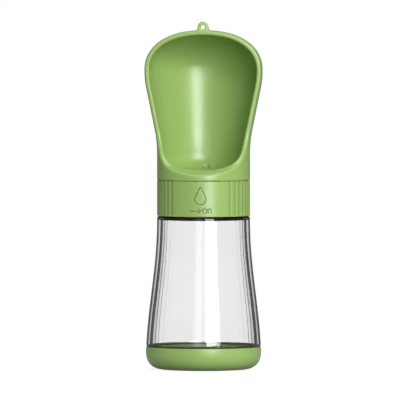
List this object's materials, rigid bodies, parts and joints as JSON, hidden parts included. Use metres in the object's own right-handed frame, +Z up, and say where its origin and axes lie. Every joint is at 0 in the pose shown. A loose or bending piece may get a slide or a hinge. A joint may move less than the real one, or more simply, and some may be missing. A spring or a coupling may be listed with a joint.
{
  "type": "dog travel water bottle",
  "caption": "Clear flared water bottle with a screw base, a ribbed twist band with a rotary valve, and a swivelling drinking scoop with a hanging lug.",
  "frame": {"origin": "on the axis of the bottle, in the plane that its foot stands on", "axes": "+Z up along the bottle, -Y out of the scoop's opening and the band's plain panel, +X to the right seen from the front"},
  "size_m": [0.084, 0.0829, 0.2469],
  "materials": {
    "green_plastic": "satin moulded polypropylene",
    "clear_plastic": "clear polished moulding",
    "seal_silicone": "soft matte silicone",
    "stainless": "plain stainless"
  },
  "bodies": {
    "base": {"base_cap": "green_plastic"},
    "base_ring": {"base_seal": "seal_silicone"},
    "bottle": {"bottle": "clear_plastic"},
    "neck_ring": {"neck_gasket": "seal_silicone"},
    "band": {"twist_band": "green_plastic"},
    "scoop": {"trough": "green_plastic", "valve_seal": "seal_silicone", "pivot_seal": "seal_silicone", "pivot_washer": "stainless", "pivot_screw": "stainless", "seat_plate": "green_plastic"}
  },
  "joints": [
    {"name": "base_rise", "type": "slide", "parent": "base", "child": "base_ring", "axis": [0, 0, 1], "range_m": [0, 0.006]},
    {"name": "base_turn", "type": "hinge", "parent": "base_ring", "child": "bottle", "pos_m": [0, 0, 0.012], "axis": [0, 0, 1], "range_deg": [0, 270]},
    {"name": "head_rise", "type": "slide", "parent": "bottle", "child": "neck_ring", "axis": [0, 0, 1], "range_m": [0, 0.006]},
    {"name": "head_turn", "type": "hinge", "parent": "neck_ring", "child": "band", "pos_m": [0, 0, 0.118], "axis": [0, 0, 1], "range_deg": [0, 270]},
    {"name": "valve_turn", "type": "hinge", "parent": "band", "child": "scoop", "pos_m": [0, 0, 0.13], "axis": [0, 0, 1], "range_deg": [-60, 0]}
  ],
  "couplings": [
    {"joint": "base_turn", "follows": "base_rise", "rad_per_m": 785.39},
    {"joint": "head_turn", "follows": "head_rise", "rad_per_m": 785.39}
  ]
}
